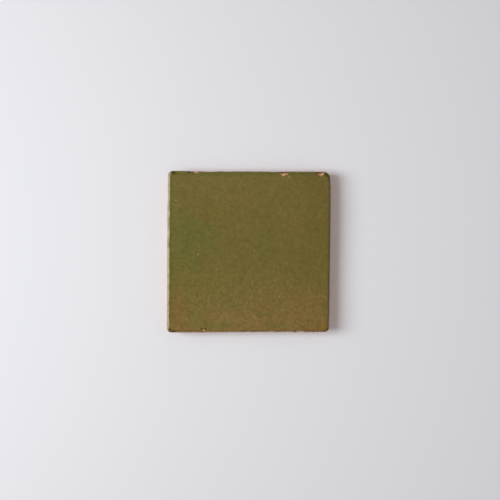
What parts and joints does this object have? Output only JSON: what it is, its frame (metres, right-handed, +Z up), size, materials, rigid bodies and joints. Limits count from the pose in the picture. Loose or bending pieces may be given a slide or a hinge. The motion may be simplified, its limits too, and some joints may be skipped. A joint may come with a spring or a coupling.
{
  "type": "zellige tile",
  "caption": "Hand-made square clay wall tile with an undulating olive-green glazed face, rolled and chipped arrises, undercut sides and a flat unglazed bedding face.",
  "frame": {"origin": "middle of the flat bedding face, at its level", "axes": "+X towards the tile's right side as the picture shows it, +Y towards the side at the picture's top, +Z up out of the glazed face"},
  "size_m": [0.1009, 0.0996, 0.0113],
  "materials": {
    "glazed_clay": "semi-gloss olive-green glaze over salmon terracotta, which is bare on the sides, the bedding face and in the chips"
  },
  "bodies": {
    "root": {"zellige_tile": "glazed_clay"}
  },
  "joints": []
}
